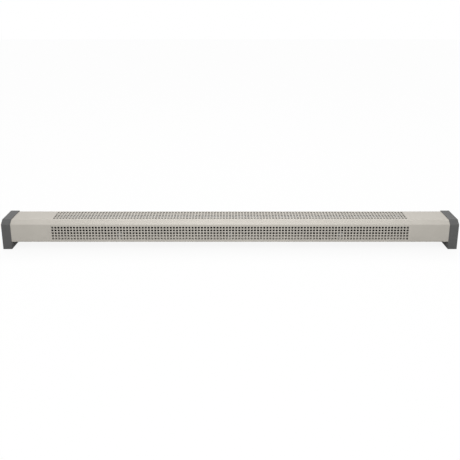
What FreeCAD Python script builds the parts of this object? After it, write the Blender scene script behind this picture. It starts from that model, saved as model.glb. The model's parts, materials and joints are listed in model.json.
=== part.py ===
"""Plinth heater: a long, low electric convector in a perforated casing between two moulded feet.

The frame has X along the heater, the front at -Y and Z up. The origin lies on the floor below the middle.
All lengths are in millimetres.
"""

import FreeCAD, Part
import math
import os
import re
import Sketcher

Vector = FreeCAD.Vector

# Driving dimensions: name, value and what it measures
SIZES = [
    ("casing_span", 1408, "length of casing that shows between the end caps"),
    ("casing_tuck", 14, "length of casing hidden in each end cap"),
    ("sheet_gauge", 1.0, "thickness of the folded sheets"),
    ("bend_radius", 1.0, "inner radius of the folds"),
    ("casing_lip", 14, "width of the casing's bottom lip"),
    ("casing_rear_lip", 14, "height of the casing's rear lip"),
    ("hole_side", 6.5, "side of a punched square hole"),
    ("hole_pitch", 10, "pitch of the columns of holes, and of the rows on the top"),
    ("plain_end", 134, "end cap to the middle of the first column of holes"),
    ("hole_rows", 5, "holes in a column, across each face"),
    ("front_row_pitch", 9.5, "pitch of the rows of holes on the front"),
    ("front_row_low", 11.9, "casing's lower edge to the middle of the lowest front row"),
    ("top_row_rear", 9, "casing's rear face to the middle of the rearmost top row"),
    ("cap_width", 29, "width of an end cap along the heater"),
    ("cap_depth", 76, "depth of an end cap, front to back"),
    ("cap_height", 98, "height of an end cap, floor to top"),
    ("cap_shoulder", 12.4, "leg of the 45 degree shoulder on an end cap"),
    ("cap_reveal", 2.0, "how far an end cap stands proud of the casing"),
    ("cap_fit", 0.2, "clearance round the casing in an end cap"),
    ("cap_end_wall", 2.5, "thickness of an end cap's outer wall"),
    ("cap_round", 1.2, "rounding of an end cap's edges"),
    ("cap_rib", 1.6, "thickness of the ribs on an end cap's outer wall"),
    ("cap_rib_depth", 8, "how far those ribs stand into the cap"),
    ("foot_height", 24, "floor to the underside of the casing"),
    ("foot_wall", 2.5, "thickness of the foot's walls and top"),
    ("foot_rib", 2.0, "thickness of the cross ribs in the foot"),
    ("cap_boss", 9, "diameter of the spacer boss under the base"),
    ("cap_boss_gap", 14, "back wall to the middle of that boss"),
    ("panel_clearance", 0.3, "clearance of the rear panel's edges inside the folds"),
    ("inlet_gap", 72, "bulkhead to the middle of the first air inlet slot"),
    ("inlet_bridge", 12, "metal between two air inlet slots"),
    ("inlet_width", 8, "width of an air inlet slot"),
    ("inlet_count", 16, "number of air inlet slots"),
    ("inlet_rear", 6, "back wall to the middle of the slots"),
    ("wall_hole", 6, "diameter of a wall-fixing hole"),
    ("wall_hole_height", 62, "floor to the wall-fixing holes"),
    ("wall_hole_inset", 34, "end cap to a wall-fixing hole"),
    ("wiring_space", 92, "end cap to a bulkhead, where the wiring is"),
    ("bulkhead_clearance", 1.3, "gap round a bulkhead's edges"),
    ("bulkhead_flange", 13, "length of a bulkhead's foot flange"),
    ("bulkhead_flange_width", 40, "width of a bulkhead's foot flange"),
    ("element_gap", 37, "bulkhead to the end of the aluminium element"),
    ("element_stand", 28, "back wall to the element's axis"),
    ("element_rise", 34, "base to the element's axis"),
    ("hub_diameter", 18, "diameter of the element's hub"),
    ("wing_reach", 22, "element's axis to the tip of a wing"),
    ("wing_angle", 30, "slope of the wings in degrees"),
    ("wing_gauge", 2.4, "thickness of a wing"),
    ("wing_rib", 1.2, "height and width of the ribs on a wing"),
    ("wing_rib_pitch", 3.6, "pitch of the ribs on a wing"),
    ("leg_drop", 16, "element's axis down to the feet of its legs"),
    ("rod_diameter", 10, "diameter of the heating rod's sheath"),
    ("rod_overhang", 14, "rod's length beyond each bulkhead"),
    ("rod_fit", 0.05, "radial clearance of the rod in its bores"),
    ("bush_flange", 22, "diameter of a rod bush's flange"),
    ("bush_neck", 15.6, "diameter of a rod bush's neck"),
    ("bush_thick", 3, "thickness of a rod bush's flange"),
    ("bush_stand", 5, "length of a rod bush's neck"),
    ("insulator_length", 8, "length of a rod's end insulator"),
    ("insulator_diameter", 9, "diameter of a rod's end insulator"),
    ("stud_diameter", 4, "diameter of the rod's terminal studs"),
    ("stud_length", 20, "length of the rod's terminal studs"),
    ("nut_across", 7, "width across the flats of the small nuts"),
    ("nut_thick", 3.2, "thickness of the small nuts"),
    ("bracket_width", 16, "width of an element bracket along the heater"),
    ("bracket_gauge", 1.2, "thickness of an element bracket"),
    ("bracket_reach", 20, "half the depth of an element bracket"),
    ("bracket_flange", 10, "depth of an element bracket's feet"),
    ("reflector_gap", 22, "bulkhead to the end of the reflector"),
    ("reflector_gauge", 0.6, "thickness of the reflector"),
    ("reflector_stand", 6, "reflector's distance from the back wall"),
    ("reflector_rise", 7.5, "base to the reflector's lower edge"),
    ("reflector_drop", 12, "casing's top to the reflector's upper edge"),
    ("reflector_flange", 8, "height of the reflector's flanges"),
    ("reflector_rivet_inset", 30, "reflector's end to its first rivet"),
    ("reflector_rivet_count", 5, "rivets along each flange of the reflector"),
    ("rivet_diameter", 4, "diameter of a rivet's shank"),
    ("rivet_head", 6.4, "diameter of a rivet's head"),
    ("rivet_head_top", 4.5, "diameter of the flat on a rivet's head"),
    ("rivet_head_thick", 1.0, "thickness of a rivet's head"),
    ("screw_diameter", 3.5, "diameter of a sheet metal screw"),
    ("screw_head", 6.6, "diameter of a screw's head"),
    ("screw_head_top", 4.6, "diameter of the flat on a screw's head"),
    ("screw_head_rim", 1.2, "height of the straight rim of a screw's head"),
    ("screw_head_thick", 2.0, "thickness of a screw's head"),
    ("screw_length", 6, "length of a sheet metal screw"),
    ("hole_fit", 0.1, "radial clearance of screws, studs and rivets in their holes"),
    ("casing_screw_inset", 79, "end cap to the first of the casing's screws"),
    ("casing_screw_count", 6, "screws along each lip of the casing"),
    ("cutout_inset", 22, "casing's front to the overheat switch"),
    ("cutout_lift", 16, "element's axis up to the overheat switch"),
    ("cutout_chamfer", 1, "chamfer round the overheat switch's sensing face"),
    ("cutout_diameter", 15.6, "diameter of the overheat switch"),
    ("cutout_body", 9, "length of the overheat switch's body"),
    ("cutout_flange", 20, "diameter of the overheat switch's flange"),
    ("cutout_face", 2, "how far its sensing face stands into the hot chamber"),
    ("blade_width", 6.3, "width of a blade terminal"),
    ("blade_gauge", 0.8, "thickness of a blade terminal"),
    ("blade_length", 10, "length of a blade terminal"),
    ("blade_spacing", 8, "distance between the two blade terminals"),
    ("clip_length", 36, "length of the overheat switch's clip"),
    ("clip_width", 10, "width of the overheat switch's clip"),
    ("clip_rivet_spacing", 27, "distance between the clip's rivets"),
    ("block_from_bulkhead", 37, "bulkhead to the terminal block"),
    ("block_length", 24, "length of the terminal block along the heater"),
    ("block_depth", 34, "depth of the terminal block"),
    ("block_height", 14, "height of the terminal block"),
    ("block_inset", 22, "casing's front to the middle of the terminal block"),
    ("pole_pitch", 10, "pitch of the terminal block's poles"),
    ("pole_bore", 3.2, "diameter of the terminal block's wire bores"),
    ("pole_height", 6.5, "base to the middle of the wire bores"),
    ("pole_screw", 3.2, "diameter of a terminal screw"),
    ("pole_screw_spacing", 12, "distance between a pole's two screws"),
    ("wire_diameter", 2.6, "diameter over a wire's insulation"),
    ("wire_stand", 6, "back wall to the long wire"),
    ("wire_rise", 6.5, "base to the long wire"),
    ("wire_bend", 4.5, "radius of the bends in the wires"),
    ("wire_fit", 0.1, "radial clearance of a wire in its clips and lugs"),
    ("lug_ring", 8.4, "diameter of a ring lug"),
    ("lug_gauge", 0.8, "thickness of a ring lug"),
    ("lug_barrel", 3.8, "diameter of a ring lug's barrel"),
    ("lug_start", 5, "middle of a ring lug to its barrel"),
    ("lug_barrel_length", 6, "length of a ring lug's barrel"),
    ("wire_clip_width", 6, "width of a wire clip"),
    ("wire_clip_count", 4, "number of wire clips"),
    ("grommet_bore", 3.2, "bore of a wire grommet"),
    ("grommet_neck", 7.0, "diameter of a wire grommet's groove"),
    ("grommet_flange", 9.4, "diameter of a wire grommet's flanges"),
    ("grommet_lip", 1.6, "thickness of a wire grommet's flanges"),
    ("earth_from_bulkhead", 20, "bulkhead to the earth screw"),
    ("gland_from_bulkhead", 76, "bulkhead to the cable gland"),
    ("gland_bore", 7.6, "bore of the cable gland"),
    ("gland_thread", 15.6, "diameter of the gland's thread"),
    ("gland_hex", 19, "width across the flats of the gland's hexagon"),
    ("gland_hex_thick", 4, "thickness of the gland's hexagon"),
    ("gland_rise", 8, "length of the gland above the base's underside"),
    ("gland_nose", 7, "length of the gland's nose below its hexagon"),
    ("gland_nose_diameter", 14, "diameter of the gland's nose"),
    ("gland_seat", 11, "diameter of the seal's seat in the nose"),
    ("gland_dome", 18.4, "diameter of the gland's dome nut"),
    ("gland_dome_face", 3, "thickness of the dome nut's face"),
    ("gland_mouth", 9, "diameter of the dome nut's mouth"),
    ("gland_nut_thick", 4, "thickness of the gland's lock nut"),
]

# Places worked out from the driving dimensions
CASING_LENGTH = "(casing_span + 2*casing_tuck)"
FRONT = "(cap_reveal - cap_depth/2)"
REAR = "(cap_depth/2 - cap_reveal)"
TOP = "(cap_height - cap_reveal)"
SHOULDER = "(cap_shoulder - cap_reveal*(2 - sqrt(2)))"
BASE_UNDER = "(foot_height + sheet_gauge)"
BASE_OVER = "(foot_height + 2*sheet_gauge)"
WALL_OUTER = f"({REAR} - sheet_gauge)"
WALL_INNER = f"({REAR} - 2*sheet_gauge)"
SCREW_BORE = "(screw_diameter + 2*hole_fit)"
RIVET_BORE = "(rivet_diameter + 2*hole_fit)"
STUD_BORE = "(stud_diameter + 2*hole_fit)"
GRID_STEPS = "round((casing_span - 2*plain_end)/hole_pitch)"
GRID_LENGTH = f"({GRID_STEPS}*hole_pitch)"
FRONT_ROWS = "((hole_rows - 1)*front_row_pitch)"
TOP_ROWS = "((hole_rows - 1)*hole_pitch)"
CASING_SCREW_RUN = "(casing_span - 2*casing_screw_inset)"
LIP_MIDDLE = f"({FRONT} + casing_lip/2)"
REAR_LIP_MIDDLE = f"({TOP} - casing_rear_lip/2)"
CAP_SCREW_X = "(casing_span/2 + casing_tuck/2)"
CAP_BOSS_Y = f"({WALL_INNER} - cap_boss_gap)"
WALL_HOLE_SPACING = "(casing_span - 2*wall_hole_inset)"
BULKHEAD_X = "(casing_span/2 - wiring_space)"
BULKHEAD_SCREW_X = f"({BULKHEAD_X} + bulkhead_flange/2)"
INLET_RUN = f"(2*({BULKHEAD_X} - inlet_gap))"
INLET_PITCH = f"({INLET_RUN}/(inlet_count - 1))"
ELEMENT_LENGTH = f"(2*({BULKHEAD_X} - element_gap))"
ELEMENT_Y = f"({WALL_INNER} - element_stand)"
ELEMENT_Z = f"({BASE_OVER} + element_rise)"
ROD_END = f"({BULKHEAD_X} + rod_overhang)"
INSULATOR_END = f"({ROD_END} + insulator_length)"
LEG_FOOT = f"({ELEMENT_Z} - leg_drop)"
BRACKET_STEP = f"({INLET_RUN}/3)"
BRACKET_RIVET = "(bracket_reach - bracket_flange/2)"
REFLECTOR_LENGTH = f"(2*({BULKHEAD_X} - reflector_gap))"
REFLECTOR_LOW = f"({BASE_OVER} + reflector_rise)"
REFLECTOR_HIGH = f"({TOP} - reflector_drop)"
REFLECTOR_RIVET_RUN = f"({REFLECTOR_LENGTH} - 2*reflector_rivet_inset)"
REFLECTOR_RIVET_LOW = f"({REFLECTOR_LOW} + reflector_flange/2)"
REFLECTOR_RIVET_STEP = f"({REFLECTOR_HIGH} - {REFLECTOR_LOW} - reflector_flange)"
COLD_FACE = f"({BULKHEAD_X} + sheet_gauge)"
CUTOUT_Y = f"({FRONT} + cutout_inset)"
CUTOUT_Z = f"({ELEMENT_Z} + cutout_lift)"
BLADE_END = f"({COLD_FACE} + sheet_gauge + cutout_body + blade_length)"
BLOCK_START = f"({BULKHEAD_X} + block_from_bulkhead)"
BLOCK_MIDDLE = f"({BLOCK_START} + block_length/2)"
BLOCK_Y = f"({FRONT} + block_inset)"
POLE_Z = f"({BASE_OVER} + pole_height)"
EARTH_X = f"({BULKHEAD_X} + earth_from_bulkhead)"
GLAND_X = f"({BULKHEAD_X} + gland_from_bulkhead)"
WIRE_Y = f"({WALL_INNER} - wire_stand)"
WIRE_Z = f"({BASE_OVER} + wire_rise)"
WIRE_CLIP_STEP = f"(4*{INLET_PITCH})"
LUG_AXIS = "(lug_barrel/2)"

doc = FreeCAD.newDocument("plinth_heater")
sheet = doc.addObject("Spreadsheet::Sheet", "Sizes")
for row, (name, size, note) in enumerate(SIZES, start=1):
    sheet.set(f"A{row}", name)
    sheet.set(f"B{row}", str(size))
    sheet.set(f"C{row}", note)
    sheet.setAlias(f"B{row}", name)
doc.recompute()

ALIAS = re.compile(r"\b(" + "|".join(name for name, _, _ in SIZES) + r")\b")
PARTS = []


def bound(formula):
    """A formula in plain size names, written so that it can be bound to the sheet."""
    return ALIAS.sub(r"Sizes.\1", formula)


def value(formula):
    """The number that a formula in size names gives now."""
    return float(sheet.evalExpression(bound(formula)))


def place(part, x="0", y="0", z="0", turn=None):
    """Give a sub-part its place, and its turn if it has one."""
    if turn:
        part.Placement = FreeCAD.Placement(Vector(), turn)
    for axis, formula in zip("xyz", (x, y, z)):
        part.setExpression(f".Placement.Base.{axis}", bound(formula))


def new_body(name):
    """An empty body that becomes the sub-part of that name."""
    body = doc.addObject("PartDesign::Body", name)
    body.Label = name
    PARTS.append(body)
    return body


def origin_feature(body, role):
    """A body's own plane or axis."""
    return next(item for item in body.Origin.OriginFeatures if item.Role == role)


def sketch(body, name, role, lift="0"):
    """A sketch on one of the body's own planes, or lifted off it along its normal."""
    made = body.newObject("Sketcher::SketchObject", f"{body.Name}_{name}")
    made.AttachmentSupport = [(origin_feature(body, role), "")]
    made.MapMode = "FlatFace"
    if lift != "0":
        made.setExpression(".AttachmentOffset.Base.z", bound(lift))
    return made


def pin(drawing, line, point, x, y):
    """Hold a point of a sketch at two formulas, measured from the sketch's origin."""
    for kind, axis, formula in (("DistanceX", -2, x), ("DistanceY", -1, y)):
        if formula == "0":
            drawing.addConstraint(Sketcher.Constraint("PointOnObject", line, point, axis))
        else:
            made = Sketcher.Constraint(kind, -1, 1, line, point, value(formula))
            index = drawing.addConstraint(made)
            drawing.setExpression(f"Constraints[{index}]", bound(formula))


def polygon(drawing, corners):
    """A closed outline through corners given as pairs of formulas."""
    spots = [Vector(value(x), value(y), 0) for x, y in corners]
    first = drawing.GeometryCount
    count = len(spots)
    for i in range(count):
        drawing.addGeometry(Part.LineSegment(spots[i], spots[(i + 1) % count]))
    for i in range(count):
        after = first + (i + 1) % count
        drawing.addConstraint(Sketcher.Constraint("Coincident", first + i, 2, after, 1))
    for i, (x, y) in enumerate(corners):
        pin(drawing, first + i, 1, x, y)


def rectangle(drawing, x, y, width, height):
    """A rectangle about a middle point."""
    left, right = f"{x} - ({width})/2", f"{x} + ({width})/2"
    low, high = f"{y} - ({height})/2", f"{y} + ({height})/2"
    polygon(drawing, [(left, low), (right, low), (right, high), (left, high)])


def hexagon(drawing, across):
    """A hexagon about the sketch's origin, by the width across its flats."""
    corner = f"({across})/2/cos(30)"
    polygon(drawing, [(f"{corner}*cos({a})", f"{corner}*sin({a})") for a in range(30, 390, 60)])


def circle(drawing, x, y, diameter):
    """A circle about a middle point."""
    middle = Vector(value(x), value(y), 0)
    line = drawing.addGeometry(Part.Circle(middle, Vector(0, 0, 1), value(diameter) / 2))
    pin(drawing, line, 3, x, y)
    index = drawing.addConstraint(Sketcher.Constraint("Diameter", line, value(diameter)))
    drawing.setExpression(f"Constraints[{index}]", bound(diameter))


def slot(drawing, x, y, length, width):
    """A slot with round ends along the sketch's X, about a middle point."""
    radius = value(width) / 2
    reach = f"({length} - {width})/2"
    left = Vector(value(f"{x} - {reach}"), value(y), 0)
    right = Vector(value(f"{x} + {reach}"), value(y), 0)
    up = Vector(0, radius, 0)
    out = Vector(radius, 0, 0)
    low = drawing.addGeometry(Part.LineSegment(left - up, right - up))
    end = drawing.addGeometry(Part.Arc(right - up, right + out, right + up))
    high = drawing.addGeometry(Part.LineSegment(right + up, left + up))
    start = drawing.addGeometry(Part.Arc(left + up, left - out, left - up))
    for one, other in ((low, end), (high, start)):
        drawing.addConstraint(Sketcher.Constraint("Tangent", one, 2, other, 1))
    for one, other in ((end, high), (start, low)):
        drawing.addConstraint(Sketcher.Constraint("Tangent", one, 2, other, 1))
    drawing.addConstraint(Sketcher.Constraint("Equal", end, start))
    pin(drawing, end, 3, f"{x} + {reach}", y)
    pin(drawing, start, 3, f"{x} - {reach}", y)
    index = drawing.addConstraint(Sketcher.Constraint("Diameter", end, 2 * radius))
    drawing.setExpression(f"Constraints[{index}]", bound(width))


def pad(body, drawing, length, both_ways=False, backwards=False):
    """Extrude a sketch into the body."""
    made = body.newObject("PartDesign::Pad", f"{drawing.Name}_pad")
    made.Profile = drawing
    made.setExpression("Length", bound(length))
    made.Midplane = both_ways
    made.Reversed = backwards
    doc.recompute()
    return made


def pocket(body, drawing, depth, along_normal=False):
    """Cut a sketch out of the body, against its normal or along it."""
    before = body.Shape.Volume
    made = body.newObject("PartDesign::Pocket", f"{drawing.Name}_pocket")
    made.Profile = drawing
    made.setExpression("Length", bound(depth))
    made.Reversed = along_normal
    doc.recompute()
    if body.Shape.Volume > before - 1e-6:
        raise ValueError(f"{made.Name} cuts nothing")
    return made


def pattern(body, feature, *runs):
    """Repeat a feature along one or two axes, each with its overall length and count."""
    made = body.newObject("PartDesign::LinearPattern", f"{feature.Name}_pattern")
    made.Originals = [feature]
    for suffix, (role, length, count) in zip(("", "2"), runs):
        setattr(made, f"Direction{suffix}", (origin_feature(body, role), [""]))
        made.setExpression(f"Length{suffix}", bound(length))
        made.setExpression(f"Occurrences{suffix}", bound(count))
    body.Tip = made
    doc.recompute()
    return made


def rounded(body, name, radius, wanted):
    """Round those edges of the body's last feature that pass a test."""
    last = body.Tip
    edges = [f"Edge{i}" for i, edge in enumerate(last.Shape.Edges, start=1) if wanted(edge)]
    made = body.newObject("PartDesign::Fillet", f"{body.Name}_{name}")
    made.Base = (last, edges)
    made.setExpression("Radius", bound(radius))
    doc.recompute()
    return made


def along_x_at(corners):
    """A test for edges along X that pass through one of the corners, given in Y and Z."""
    spots = [(value(y), value(z)) for y, z in corners]

    def wanted(edge):
        ends = [vertex.Point for vertex in edge.Vertexes]
        if len(ends) < 2 or abs(ends[0].y - ends[1].y) + abs(ends[0].z - ends[1].z) > 1e-4:
            return False
        return any(abs(ends[0].y - y) + abs(ends[0].z - z) < 1e-4 for y, z in spots)

    return wanted


def turned(body, axis, outline):
    """Revolve an outline, given as places along the axis with radii, about the body's own axis."""
    role = "XZ_Plane" if axis == "Z" else "XY_Plane"
    drawing = sketch(body, "outline", role)
    if axis == "X":
        corners = outline
    else:
        corners = [(radius, along) for along, radius in outline]
    polygon(drawing, corners)
    made = body.newObject("PartDesign::Revolution", f"{body.Name}_turned")
    made.Profile = drawing
    made.ReferenceAxis = (drawing, ["H_Axis" if axis == "X" else "V_Axis"])
    made.Angle = 360
    doc.recompute()
    return made


def casing():
    """One folded sheet: bottom lip, front, shoulder, top and rear lip, punched front and top.

    The square holes of each column are drawn as one slot of the same width, pitch and reach.
    """
    body = new_body("casing")
    bend = "sheet_gauge*(sqrt(2) - 1)"
    outer_folds = [
        (FRONT, "foot_height"),
        (FRONT, f"{TOP} - {SHOULDER}"),
        (f"{FRONT} + {SHOULDER}", TOP),
        (REAR, TOP),
    ]
    inner_folds = [
        (WALL_OUTER, f"{TOP} - sheet_gauge"),
        (f"{FRONT} + {SHOULDER} + {bend}", f"{TOP} - sheet_gauge"),
        (f"{FRONT} + sheet_gauge", f"{TOP} - {SHOULDER} - {bend}"),
        (f"{FRONT} + sheet_gauge", BASE_UNDER),
    ]
    rear_edge = f"{TOP} - casing_rear_lip"
    lip_edge = f"{FRONT} + casing_lip"
    profile = sketch(body, "profile", "YZ_Plane")
    polygon(
        profile,
        outer_folds
        + [(REAR, rear_edge), (WALL_OUTER, rear_edge)]
        + inner_folds
        + [(lip_edge, BASE_UNDER), (lip_edge, "foot_height")],
    )
    pad(body, profile, CASING_LENGTH, both_ways=True)
    rounded(body, "outer_bends", "bend_radius + sheet_gauge", along_x_at(outer_folds))
    rounded(body, "inner_bends", "bend_radius", along_x_at(inner_folds))

    base_holes = sketch(body, "base_screw_holes", "XY_Plane")
    circle(base_holes, f"-{CASING_SCREW_RUN}/2", LIP_MIDDLE, SCREW_BORE)
    base_cut = pocket(body, base_holes, BASE_UNDER, along_normal=True)
    pattern(body, base_cut, ("X_Axis", CASING_SCREW_RUN, "casing_screw_count"))
    cap_holes = sketch(body, "cap_screw_holes", "XY_Plane")
    circle(cap_holes, f"-{CAP_SCREW_X}", LIP_MIDDLE, SCREW_BORE)
    cap_cut = pocket(body, cap_holes, BASE_UNDER, along_normal=True)
    pattern(body, cap_cut, ("X_Axis", f"2*{CAP_SCREW_X}", "2"))
    rear_holes = sketch(body, "rear_screw_holes", "XZ_Plane")
    circle(rear_holes, f"-{CASING_SCREW_RUN}/2", REAR_LIP_MIDDLE, SCREW_BORE)
    rear_cut = pocket(body, rear_holes, "cap_depth")
    pattern(body, rear_cut, ("X_Axis", CASING_SCREW_RUN, "casing_screw_count"))

    columns = ("X_Axis", GRID_LENGTH, f"{GRID_STEPS} + 1")
    front_slot = sketch(body, "front_slot", "XZ_Plane")
    front_middle = f"foot_height + front_row_low + {FRONT_ROWS}/2"
    rectangle(front_slot, f"-{GRID_LENGTH}/2", front_middle, "hole_side", f"{FRONT_ROWS} + hole_side")
    pattern(body, pocket(body, front_slot, "cap_depth", along_normal=True), columns)
    top_slot = sketch(body, "top_slot", "XY_Plane", lift=TOP)
    top_middle = f"{REAR} - top_row_rear - {TOP_ROWS}/2"
    rectangle(top_slot, f"-{GRID_LENGTH}/2", top_middle, "hole_side", f"{TOP_ROWS} + hole_side")
    pattern(body, pocket(body, top_slot, "2*sheet_gauge"), columns)
    place(body)


def rear_panel():
    """Back wall and base in one folded sheet, with air inlets, fixing holes and the cable entry."""
    body = new_body("rear_panel")
    front_edge = f"{FRONT} + sheet_gauge + bend_radius + panel_clearance"
    top_edge = f"{TOP} - sheet_gauge - bend_radius - panel_clearance"
    profile = sketch(body, "profile", "YZ_Plane")
    polygon(
        profile,
        [
            (front_edge, BASE_UNDER),
            (WALL_OUTER, BASE_UNDER),
            (WALL_OUTER, top_edge),
            (WALL_INNER, top_edge),
            (WALL_INNER, BASE_OVER),
            (front_edge, BASE_OVER),
        ],
    )
    pad(body, profile, CASING_LENGTH, both_ways=True)
    rounded(body, "outer_bend", "bend_radius + sheet_gauge", along_x_at([(WALL_OUTER, BASE_UNDER)]))
    rounded(body, "inner_bend", "bend_radius", along_x_at([(WALL_INNER, BASE_OVER)]))

    def base_hole(name, draw, *runs):
        """Cut one shape through the base, repeated along the runs."""
        drawing = sketch(body, name, "XY_Plane", lift=BASE_OVER)
        draw(drawing)
        cut = pocket(body, drawing, "2*sheet_gauge")
        if runs:
            pattern(body, cut, *runs)

    def wall_hole(name, x, z, diameter, *runs):
        """Cut one round hole through the back wall, repeated along the runs."""
        drawing = sketch(body, name, "XZ_Plane")
        circle(drawing, x, z, diameter)
        cut = pocket(body, drawing, "cap_depth")
        pattern(body, cut, *runs)

    inlet_length = f"({INLET_PITCH} - inlet_bridge)"
    base_hole(
        "inlets",
        lambda d: slot(d, f"-{INLET_RUN}/2", f"{WALL_INNER} - inlet_rear", inlet_length, "inlet_width"),
        ("X_Axis", INLET_RUN, "inlet_count"),
    )
    base_hole(
        "casing_screws",
        lambda d: circle(d, f"-{CASING_SCREW_RUN}/2", LIP_MIDDLE, SCREW_BORE),
        ("X_Axis", CASING_SCREW_RUN, "casing_screw_count"),
    )
    base_hole(
        "cap_screws",
        lambda d: circle(d, f"-{CAP_SCREW_X}", LIP_MIDDLE, SCREW_BORE),
        ("X_Axis", f"2*{CAP_SCREW_X}", "2"),
        ("Y_Axis", f"{CAP_BOSS_Y} - {LIP_MIDDLE}", "2"),
    )
    base_hole(
        "bulkhead_screws",
        lambda d: circle(d, f"-{BULKHEAD_SCREW_X}", "-bulkhead_flange_width/4", SCREW_BORE),
        ("X_Axis", f"2*{BULKHEAD_SCREW_X}", "2"),
        ("Y_Axis", "bulkhead_flange_width/2", "2"),
    )
    base_hole(
        "bracket_rivets",
        lambda d: circle(d, f"-{BRACKET_STEP}", f"{ELEMENT_Y} - {BRACKET_RIVET}", RIVET_BORE),
        ("X_Axis", f"2*{BRACKET_STEP}", "3"),
        ("Y_Axis", f"2*{BRACKET_RIVET}", "2"),
    )
    base_hole(
        "block_screws",
        lambda d: circle(d, BLOCK_MIDDLE, f"{BLOCK_Y} - pole_pitch/2", SCREW_BORE),
        ("Y_Axis", "pole_pitch", "2"),
    )
    base_hole("earth", lambda d: circle(d, EARTH_X, BLOCK_Y, STUD_BORE))
    base_hole("gland", lambda d: circle(d, GLAND_X, ELEMENT_Y, "gland_thread + 2*hole_fit"))
    wall_hole(
        "casing_rear_screws",
        f"-{CASING_SCREW_RUN}/2",
        REAR_LIP_MIDDLE,
        SCREW_BORE,
        ("X_Axis", CASING_SCREW_RUN, "casing_screw_count"),
    )
    wall_hole(
        "reflector_rivets",
        f"-{REFLECTOR_RIVET_RUN}/2",
        REFLECTOR_RIVET_LOW,
        RIVET_BORE,
        ("X_Axis", REFLECTOR_RIVET_RUN, "reflector_rivet_count"),
        ("Z_Axis", REFLECTOR_RIVET_STEP, "2"),
    )
    wall_hole(
        "fixings",
        f"-{WALL_HOLE_SPACING}/2",
        "wall_hole_height",
        "wall_hole",
        ("X_Axis", WALL_HOLE_SPACING, "2"),
    )
    place(body)


def end_cap(name, side):
    """A moulded cap open towards the casing, hollow in the foot and ribbed on its outer wall."""
    body = new_body(name)
    right = side > 0
    outline = sketch(body, "outline", "YZ_Plane")
    polygon(
        outline,
        [
            ("-cap_depth/2", "0"),
            ("-cap_depth/2", "cap_height - cap_shoulder"),
            ("cap_shoulder - cap_depth/2", "cap_height"),
            ("cap_depth/2", "cap_height"),
            ("cap_depth/2", "0"),
        ],
    )
    pad(body, outline, "cap_width", backwards=not right)
    far = side * value("cap_width")
    shoulder_low = value("cap_height - cap_shoulder") - 1e-4

    def outer_edge(edge):
        """The rim of the outer wall and the edges along the shoulder and the top."""
        ends = [vertex.Point for vertex in edge.Vertexes]
        rim = all(abs(end.x - far) < 1e-4 for end in ends) and max(end.z for end in ends) > 1e-4
        along = abs(ends[0].x - ends[1].x) > 1 and ends[0].z > shoulder_low
        return rim or along

    rounded(body, "edges", "cap_round", outer_edge)

    grow = "cap_fit*(sqrt(2) - 1)"
    cavity = sketch(body, "cavity", "YZ_Plane")
    polygon(
        cavity,
        [
            (f"{FRONT} - cap_fit", "foot_height"),
            (f"{FRONT} - cap_fit", f"{TOP} - {SHOULDER} + {grow}"),
            (f"{FRONT} + {SHOULDER} - {grow}", f"{TOP} + cap_fit"),
            (f"{REAR} + cap_fit", f"{TOP} + cap_fit"),
            (f"{REAR} + cap_fit", "foot_height"),
        ],
    )
    pocket(body, cavity, "cap_width - cap_end_wall", along_normal=right)

    outward = "" if right else "-"
    rib_start = f"{outward}(cap_width - cap_end_wall)"
    ribs = sketch(body, "ribs", "YZ_Plane", lift=rib_start)
    for third in (1, 2):
        height = f"foot_height + (cap_height - cap_shoulder - foot_height)*{third}/3"
        rectangle(ribs, "0", height, f"2*({REAR} + cap_fit)", "cap_rib")
    pad(body, ribs, "cap_rib_depth", backwards=right)

    boss = sketch(body, "boss", "XY_Plane", lift="foot_height")
    circle(boss, f"{outward}casing_tuck/2", CAP_BOSS_Y, "cap_boss")
    pad(body, boss, "sheet_gauge")

    bays = sketch(body, "foot_bays", "XY_Plane")
    bay = "((cap_depth - 2*foot_wall - 2*foot_rib)/3)"
    for step in (-1, 0, 1):
        middle = f"{step}*({bay} + foot_rib)"
        rectangle(bays, f"{outward}cap_width/2", middle, "(cap_width - 2*foot_wall)", bay)
    pocket(body, bays, "foot_height - foot_wall", along_normal=True)

    holes = sketch(body, "screw_holes", "XY_Plane")
    for y in (LIP_MIDDLE, CAP_BOSS_Y):
        circle(holes, f"{outward}casing_tuck/2", y, SCREW_BORE)
    pocket(body, holes, BASE_UNDER, along_normal=True)
    place(body, x=f"{outward}casing_span/2")


def bulkhead(name, side):
    """An upright plate on a foot flange, with holes for the rod, the long wire and the overheat switch."""
    body = new_body(name)
    right = side > 0
    outward = "" if right else "-"
    front_edge = f"{FRONT} + sheet_gauge + bulkhead_clearance"
    rear_edge = f"{WALL_INNER} - bulkhead_clearance"
    top_edge = f"{TOP} - sheet_gauge - bulkhead_clearance"
    inset = "(sheet_gauge + bulkhead_clearance)*(sqrt(2) - 1)"
    plate = sketch(body, "plate", "YZ_Plane")
    polygon(
        plate,
        [
            (front_edge, BASE_OVER),
            (front_edge, f"{TOP} - {SHOULDER} - {inset}"),
            (f"{FRONT} + {SHOULDER} + {inset}", top_edge),
            (rear_edge, top_edge),
            (rear_edge, BASE_OVER),
        ],
    )
    circle(plate, ELEMENT_Y, ELEMENT_Z, "bush_neck + 2*hole_fit")
    circle(plate, WIRE_Y, WIRE_Z, "grommet_neck + 2*hole_fit")
    if right:
        circle(plate, CUTOUT_Y, CUTOUT_Z, "cutout_diameter + 2*hole_fit")
        for way in ("-", "+"):
            circle(plate, f"{CUTOUT_Y} {way} clip_rivet_spacing/2", CUTOUT_Z, RIVET_BORE)
    pad(body, plate, "sheet_gauge", backwards=not right)
    flange = sketch(body, "flange", "XY_Plane", lift=BASE_OVER)
    rectangle(flange, f"{outward}bulkhead_flange/2", "0", "bulkhead_flange", "bulkhead_flange_width")
    for way in ("-", ""):
        circle(flange, f"{outward}bulkhead_flange/2", f"{way}bulkhead_flange_width/4", SCREW_BORE)
    pad(body, flange, "sheet_gauge")
    place(body, x=f"{outward}{BULKHEAD_X}")


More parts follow.
